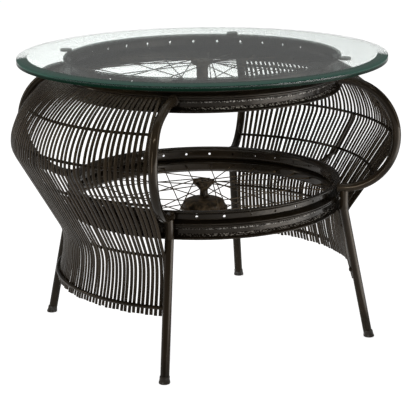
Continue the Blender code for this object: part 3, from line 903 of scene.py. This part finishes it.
def rod_skin(curtains, side):
    """Rods of one curtain: the rod line at each rod's azimuth, straying slowly aside and in and out.

    Below the bulge the rods of the left curtain fan out, and each rod is a little off its even place. Their
    rail goes with them.
    """
    spread = np.random.default_rng(curtains.seed + list(SIDES).index(side))
    line = rod_line(side)
    share = np.linspace(0, 1, len(line))
    rods = curtains.rods
    azimuth = SIDES[side] + curtains.span * np.linspace(-0.5, 0.5, rods)
    waves, phase = spread.uniform(0.6, 2.6, (rods, 1)), spread.uniform(0, 2 * np.pi, (rods, 1))
    hold = curtains.wander * np.sin(np.pi * share) ** 0.5
    aside = spread.normal(0, 0.55, (rods, 1)) * np.sin(waves * np.pi * share + phase) * hold
    inout = 0.5 * spread.normal(0, 0.5, (rods, 1)) * np.sin(2 * np.pi * share + phase) * hold
    low = spread.normal(0, 0.0008, (rods, 1)) * share**8
    fall = np.clip((FAN_TOP - line[:, 1]) / (FAN_TOP - FAN_LOW), 0, 1)
    fan = FAN_SHARE[side] * curtains.fan * np.linspace(-0.5, 0.5, rods)[:, None] * fall**2 * (3 - 2 * fall)
    aside = aside + curtains.uneven * spread.normal(0, 1, (rods, 1)) * (0.3 + 0.7 * fall)
    paths = around(azimuth[:, None] + fan, line[:, 0] + inout, line[:, 1] + low, aside)
    bars = swept(paths, upright(azimuth), curtains.rod_half, 12, 2.8, curtains.rod_depth / curtains.rod_half)
    skin = Skin().add(bars, strand=spread.uniform(0, 1, (rods, 1)))
    rail = arc_line(RIM_RADIUS + ROD_START[0] / 2, ROD_START[1], side, curtains.span / 2 + RAIL_PAST)
    rail = swept(rail, UP, curtains.rod_depth, 12, 5.0, RAIL_HALF / curtains.rod_depth)
    return skin.add(rail, strand=0.2)


def hoop_skin(radius, at, side, ends):
    """Hoop: a round section carried round a level arc whose ends butt the corner tubes."""
    half_span = CORNER - math.asin(ends / at[0])
    path, radii = blunt(arc_line(at[0], at[1], side, half_span), radius, HOOP_EASE)
    return Skin().add(swept(path, UP, radii, 12))


def rib_skin(curtains, side):
    """Middle rib: a square bar inside the hoops, bent in to the well of the lower rims."""
    depth = curtains.rod_depth + 2 * curtains.hoop_radius + curtains.rib_half
    low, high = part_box("lower_bare_rim")
    middle = (low.z + high.z) / 2
    top, knee = HOOPS[side]["bulge"] + curtains.rib_half, RIB_KNEE
    upper = np.array([on_rod(side, height, depth) for height in np.linspace(top, knee, 9)])
    lower = [(RIM_RADIUS + 0.008, middle), (RIM_RADIUS - 0.012, middle)]
    line = evenly(eased(np.concatenate([upper, lower]), 0.012, 6), 48)
    path, radii = blunt(around(SIDES[side], line[:, 0], line[:, 1]), curtains.rib_half, 0.0005)
    return Skin().add(swept(path, upright(SIDES[side]), radii, 16, square=5.0))


# Operators


class RIMTABLE_OT_finishes(bpy.types.Operator):
    """Mix the finishes that the pieces share"""

    bl_idname = "rimtable.finishes"
    bl_label = "Finishes"

    def execute(self, context):
        settings = context.scene.rim_table
        for make in (tube_enamel, rod_enamel, rim_enamel, hub_enamel, grey_rubber, cap_rubber):
            make(settings.finish)
        clear_glass(settings.glass)
        return {"FINISHED"}


class RIMTABLE_OT_glass(bpy.types.Operator):
    """Make the bevelled glass top"""

    bl_idname = "rimtable.glass"
    bl_label = "Glass top"

    def execute(self, context):
        profile, part = glass_profile(context.scene.rim_table.glass)
        skin = Skin().add(turned(profile, 256), strand=part)
        top = place(
            "bevelled_glass", skin, "clear_glass", "glass_top", body="top", slot="glass", sharp=GLASS_SHARP
        )
        top.visible_shadow = False
        return {"FINISHED"}


class RIMTABLE_OT_pads(bpy.types.Operator):
    """Make the pads that carry the glass"""

    bl_idname = "rimtable.pads"
    bl_label = "Glass pads"

    def execute(self, context):
        settle = context.scene.rim_table.glass.settle
        for corner, azimuth in CORNERS.items():
            node = f"glass_pad_{corner}"
            low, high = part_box(node)
            base, top = low.z - PAD_DROP, high.z - settle
            outline = [(CORE, base), (PAD_RADIUS, base), (PAD_RADIUS, top), (CORE, top)]
            centre = off_axis((low + high) / 2) + PAD_OUT
            skin = disc_stack(eased(outline, PAD_EASE, 5), centre, 32, azimuth)
            place(f"pad_{corner}", skin, "grey_rubber", node, slot="rubber")
        return {"FINISHED"}


class RIMTABLE_OT_rims(bpy.types.Operator):
    """Make the laced rims and the bare rims with their open spoke holes"""

    bl_idname = "rimtable.rims"
    bl_label = "Rims"

    def execute(self, context):
        rims = context.scene.rim_table.rims
        for level in LEVELS:
            low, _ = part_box(f"{level}_laced_rim")
            rim = plain_rim(rims, low.z)
            place(f"{level}_wheel_rim", rim, "rim_enamel", f"{level}_laced_rim")
            low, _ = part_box(f"{level}_bare_rim")
            name = f"{level}_drilled_rim"
            rim = drilled_rim(name, rims, low.z, rims.upper_turn if level == "upper" else 0.0)
            place(name, rim, "rim_enamel", f"{level}_bare_rim")
        return {"FINISHED"}


class RIMTABLE_OT_wheels(bpy.types.Operator):
    """Make the hubs, their spokes and their axles"""

    bl_idname = "rimtable.wheels"
    bl_label = "Hubs and spokes"

    def execute(self, context):
        settings = context.scene.rim_table
        wheels, look, slot = settings.wheels, "hub_enamel", "hub_steel"
        plain = [(wheels.flange_radius, wheels.flange_rise), (wheels.flange_radius, -wheels.flange_rise)]
        drum = [(wheels.flange_radius, wheels.cup_rise), (wheels.drum_flange, -wheels.drum_drop)]
        for level, outline, flanges in (("upper", plain_hub, plain), ("lower", drum_hub, drum)):
            low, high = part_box(f"{level}_laced_rim")
            middle = (low.z + high.z) / 2
            hub = Skin().add(turned(outline(wheels, middle), 96), ring=True)
            place(f"{level}_hub_shell", hub, look, f"{level}_hub", slot=slot)
            spokes = lacing(wheels, settings.rims, middle, flanges)
            place(f"{level}_spokes", spokes, look, slot=slot)
            node = f"{level}_axle"
            place(f"{level}_shaft", axle_skin(node), look, node, body=node, slot=slot)
        return {"FINISHED"}


class RIMTABLE_OT_bows(bpy.types.Operator):
    """Make the half-round tube bows and their weld beads"""

    bl_idname = "rimtable.bows"
    bl_label = "Bows"

    def execute(self, context):
        tubes = context.scene.rim_table.tubes
        line = bow_line(tubes)
        rise = (line[:, 1] - tubes.bow_height) / tubes.bow_radius
        bent = np.clip((rise - LEAN_FROM) / (1 - LEAN_FROM), 0, 1) ** 2
        welds = Skin()
        for corner, azimuth in CORNERS.items():
            lean = tubes.lean if corner == "front_left" else 0.0
            path = around(azimuth, line[:, 0], line[:, 1], lean * bent)
            skin = Skin().add(swept(path, upright(azimuth), tubes.bow_tube, 28))
            place(f"bow_tube_{corner}", skin, "tube_enamel", f"bow_{corner}")
            for height, aside in ((tubes.bow_radius, lean), (-tubes.bow_radius, 0.0)):
                centre = around(azimuth, RIM_RADIUS + WELD_OUT, tubes.bow_height + height, aside)
                welds.add(bead_ring(centre, upright(azimuth), UP, tubes.bow_tube, BEAD), ring=True)
        place("weld_beads", welds, "tube_enamel")
        return {"FINISHED"}


class RIMTABLE_OT_legs(bpy.types.Operator):
    """Make the leg sockets, the splayed legs and their foot caps"""

    bl_idname = "rimtable.legs"
    bl_label = "Legs"

    def execute(self, context):
        tube = context.scene.rim_table.tubes.leg_tube
        low, high, foot = socket_low.z, socket_high.z + SOCKET_RISE, foot_high.z
        sleeve = [(CORE, low), (SOCKET_RADIUS, low), (SOCKET_RADIUS, high), (CORE, high)]
        sleeve = eased(sleeve, SOCKET_EASE, 4)
        collar = tube + CAP_COLLAR
        cap = [(CORE, 0.0), (CAP_SOLE - 0.0003, 0.0), (CAP_SOLE, CAP_RISE)]
        cap = eased([*cap, (collar, foot * 0.55), (collar, foot), (CORE, foot)], CAP_EASE, 5)
        cap[:, 1] = np.clip(cap[:, 1], 0.0, foot)
        for corner, azimuth in CORNERS.items():
            out_top, out_toe = OUTSET.get(corner, (0.0, 0.0))
            top, toe = off_axis(socket_middle) + out_top, off_axis(foot_middle) + out_toe
            name = f"socket_{corner}"
            place(name, disc_stack(sleeve, top, 28, azimuth), "tube_enamel", f"leg_{name}")
            line = np.linspace((top - LEG_STEP, low + LEG_TUCK), (toe - LEG_KNEE, foot - CAP_TUCK), 24)
            path = around(azimuth, line[:, 0], line[:, 1])
            skin = Skin().add(swept(path, upright(azimuth), tube, 28))
            inner = np.interp(PEG_HEIGHT, line[::-1, 1], line[::-1, 0]) - PEG_REACH
            skin.add(swept(around(azimuth, inner, PEG_HEIGHT), upright(azimuth), PEG_RADII, 16))
            place(f"leg_tube_{corner}", skin, "tube_enamel", f"leg_{corner}")
            centres = toe - LEG_KNEE / foot * np.maximum(cap[:, 1] - CAP_RISE, 0.0)
            skin = disc_stack(cap, centres, 28, azimuth)
            place(f"foot_cap_{corner}", skin, "cap_rubber", f"foot_{corner}", slot="rubber")
        return {"FINISHED"}


class RIMTABLE_OT_curtains(bpy.types.Operator):
    """Make the curtains of bent rod with their hoops and middle ribs"""

    bl_idname = "rimtable.curtains"
    bl_label = "Rod curtains"

    def execute(self, context):
        settings = context.scene.rim_table
        curtains, leg = settings.curtains, settings.tubes.leg_tube
        for side in SIDES:
            skin = rod_skin(curtains, side)
            place(f"{side}_rods", skin, "rod_enamel", f"{side}_rod_curtain")
            radius, depth = curtains.hoop_radius, curtains.rod_depth
            hoops = {}
            for hoop, height in HOOPS[side].items():
                ends = leg if hoop == "waist" else HOOP_GAP
                hoops[hoop] = hoop_skin(radius, on_rod(side, height, depth + radius), side, ends)
            radius = curtains.hem_radius
            hoops["hem"] = hoop_skin(radius, on_rod(side, HEM_HOOP, -depth - radius), side, leg)
            for hoop, skin in hoops.items():
                name = f"{side}_{hoop}_hoop"
                place(f"{name}_bar", skin, "rod_enamel", name)
            skin = rib_skin(curtains, side)
            place(f"{side}_rib_bar", skin, "tube_enamel", f"{side}_middle_rib")
        return {"FINISHED"}


# Stage

FLOOR_HALF, FLOOR_DROP = 40.0, 0.0006
# The floor's glow; its brighter glow through the glass and the fade to the right, painted light seen through
# the glass; and the pool that glows only in reflections, a painted reflection.
FLOOR_GLOW, FLOOR_SHARE = 6.0, 0.1417
THROUGH_SHARE, THROUGH_FADE = 0.192, 0.067
FADE_WAY = (0.857, -0.515, 0.0)
POOL_WAY = (0.574, -0.819, 0.0)
POOL_DIM, POOL_WIDE, POOL_CORE = 0.06, 0.12, 0.7
SEEN_WHITE = 1.05
SENSOR = 36.0
WARM = (1.0, 0.88, 0.72)
TUBES = ("bow_", "leg_", "socket_")
LEFT_LIT = ("bow_", "leg_tube_front_right", "leg_tube_back", "socket_")
METAL = ("bow_", "leg_", "socket_", "weld_", "upper_", "lower_", "left_", "right_", "foot_", "pad_")
MIDDLE = (0.0, 0.0, 0.35)
LIGHTS = (
    ("key_box", (0.0, 0.0, 4.2), (0.0, 0.0, 0.0), (4.5, 4.5), 50.0, ()),
    ("back_left_strip", (-2.5, 2.1, 1.3), MIDDLE, (0.45, 1.8), 15.0, METAL),
    ("right_strip", (1.4, -1.4, 0.76), (0.0, 0.0, 0.76), (0.4, 1.5), 6.5, TUBES),
    ("left_strip", (-2.0, -1.5, 0.72), (0.0, 0.0, 0.72), (0.14, 1.4), 10.0, LEFT_LIT),
    ("front_top_strip", (-1.2, -2.0, 2.5), MIDDLE, (2.2, 0.12), 11.0, METAL),
    ("far_right_strip", (3.0, 0.4, 1.2), MIDDLE, (0.5, 2.0), 6.0, METAL),
)


def pale_floor(stage):
    """Pale floor that glows evenly where it is seen straight. Through the glass it glows brighter and fades
    there to the right: painted light seen through the glass.

    Mirrored in the metal it is dim, with a bright glowing pool towards the front right: a painted reflection
    that puts highlights on the metal.
    """
    made = Finish("pale_floor", roughness=0.9, emission_strength=FLOOR_GLOW)
    through, glossy, reflected = (
        made.wire.node("ShaderNodeLightPath", {}, {}, f"Is {kind} Ray")
        for kind in ("Transmission", "Glossy", "Reflection")
    )
    along = made.wire.vector("DOT_PRODUCT", made.wire.vector("NORMALIZE", made.place), POOL_WAY)
    off = made.wire.vector("LENGTH", made.place).band(0.75, 1.15)
    # Painted reflection: a pool that glows only in glossy reflections, towards the front right.
    pool = (along.band(0.3, 0.8) * POOL_WIDE + along.band(0.84, 1.0) * POOL_CORE) * off + POOL_DIM
    # Painted light seen through the glass, fading to the right.
    across = made.wire.vector("DOT_PRODUCT", made.place, FADE_WAY).band(-0.5, 0.75)
    through = through * (THROUGH_SHARE - across * THROUGH_FADE)
    made.feed(emission_color=through + glossy * reflected * (pool - FLOOR_SHARE) + FLOOR_SHARE)
    made.feed(base_color=made.noise(3.0).mix(colour(stage.floor), colour(stage.floor_pale)))
    mesh = bpy.data.meshes.new("pale_floor")
    square = FLOOR_HALF * np.array([(-1, -1), (1, -1), (1, 1), (-1, 1)])
    mesh.from_pydata(np.column_stack([square, np.full(4, -FLOOR_DROP)]), [], [(0, 1, 2, 3)])
    mesh.materials.append(made.material)
    stand("pale_floor", mesh)


def dim_room(scene, stage):
    """Room that is white where it is seen straight, and dim in reflections."""
    scene.world = bpy.data.worlds.new("studio")
    scene.world.use_nodes = True
    tree = scene.world.node_tree
    seen = Wire(tree).node("ShaderNodeLightPath", {}, {}, "Is Camera Ray")
    level = seen * (SEEN_WHITE - stage.ambient) + stage.ambient
    back = tree.nodes["Background"].inputs
    back["Color"].default_value = colour(WHITE)
    tree.links.new(level.socket, back["Strength"])


def area_light(name, at, towards, size, power, only):
    """Area light that looks towards a place. A warm strip lights and shows in the named pieces only."""
    data = bpy.data.lights.new(name, "AREA")
    data.shape, data.energy = "RECTANGLE", power
    data.size, data.size_y = size
    data.color = WARM if only else WHITE
    back = unit(np.array(at) - np.array(towards))
    side = unit(np.cross((0.0, 1.0, 0.0) if abs(back[2]) > 0.99 else UP, back))
    lamp = stand(name, data, at, (side, np.cross(back, side), back))
    lamp.visible_camera = False
    lamp.visible_glossy = bool(only)
    if only:
        lit = bpy.data.collections.new(f"{name}_lit")
        for piece in bpy.context.scene.objects:
            if piece.name.startswith(only):
                lit.objects.link(piece)
        lamp.light_linking.receiver_collection = lit


class RIMTABLE_OT_stage(bpy.types.Operator):
    """Set the pale floor, the soft lights and the camera"""

    bl_idname = "rimtable.stage"
    bl_label = "Stage"

    def execute(self, context):
        scene = context.scene
        stage = scene.rim_table.stage
        scene.view_settings.view_transform = "Standard"
        pale_floor(stage)
        dim_room(scene, stage)
        for light in LIGHTS:
            area_light(*light)
        lens = bpy.data.cameras.new("photo_camera")
        lens.lens, lens.sensor_width = stage.lens, SENSOR
        forward, up = np.array(stage.camera_forward), np.array(stage.camera_up)
        axes = unit(np.cross(forward, up)), unit(up), -unit(forward)
        scene.camera = stand("photo_camera", lens, stage.camera_at, axes)
        return {"FINISHED"}


# Layout of the add-on

STEPS = (
    RIMTABLE_OT_finishes,
    RIMTABLE_OT_glass,
    RIMTABLE_OT_pads,
    RIMTABLE_OT_rims,
    RIMTABLE_OT_wheels,
    RIMTABLE_OT_bows,
    RIMTABLE_OT_legs,
    RIMTABLE_OT_curtains,
    RIMTABLE_OT_stage,
)


class RIMTABLE_PT_panel(bpy.types.Panel):
    """Steps that build the table, in order"""

    bl_idname = "RIMTABLE_PT_panel"
    bl_label = "Rim Table"
    bl_space_type = "VIEW_3D"
    bl_region_type = "UI"
    bl_category = "Rim Table"

    def draw(self, context):
        for step in STEPS:
            self.layout.operator(step.bl_idname)


CLASSES = (
    GlassSettings,
    RimSettings,
    WheelSettings,
    TubeSettings,
    CurtainSettings,
    FinishSettings,
    StageSettings,
    RimTableSettings,
    *STEPS,
    RIMTABLE_PT_panel,
)


def register():
    """Registers the classes and gives each scene its settings."""
    for made in CLASSES:
        bpy.utils.register_class(made)
    bpy.types.Scene.rim_table = PointerProperty(type=RimTableSettings)


def unregister():
    """Takes the settings and the classes out again."""
    del bpy.types.Scene.rim_table
    for made in reversed(CLASSES):
        bpy.utils.unregister_class(made)


def main():
    """Builds the dressed table."""
    for name in ("Cube", "Light", "Camera"):
        stale = bpy.data.objects.get(name)
        if stale is not None:
            bpy.data.objects.remove(stale)
    register()
    bpy.ops.rimtable.finishes()
    bpy.ops.rimtable.glass()
    bpy.ops.rimtable.pads()
    bpy.ops.rimtable.rims()
    bpy.ops.rimtable.wheels()
    bpy.ops.rimtable.bows()
    bpy.ops.rimtable.legs()
    bpy.ops.rimtable.curtains()
    bpy.ops.rimtable.stage()


if __name__ == "__main__":
    main()
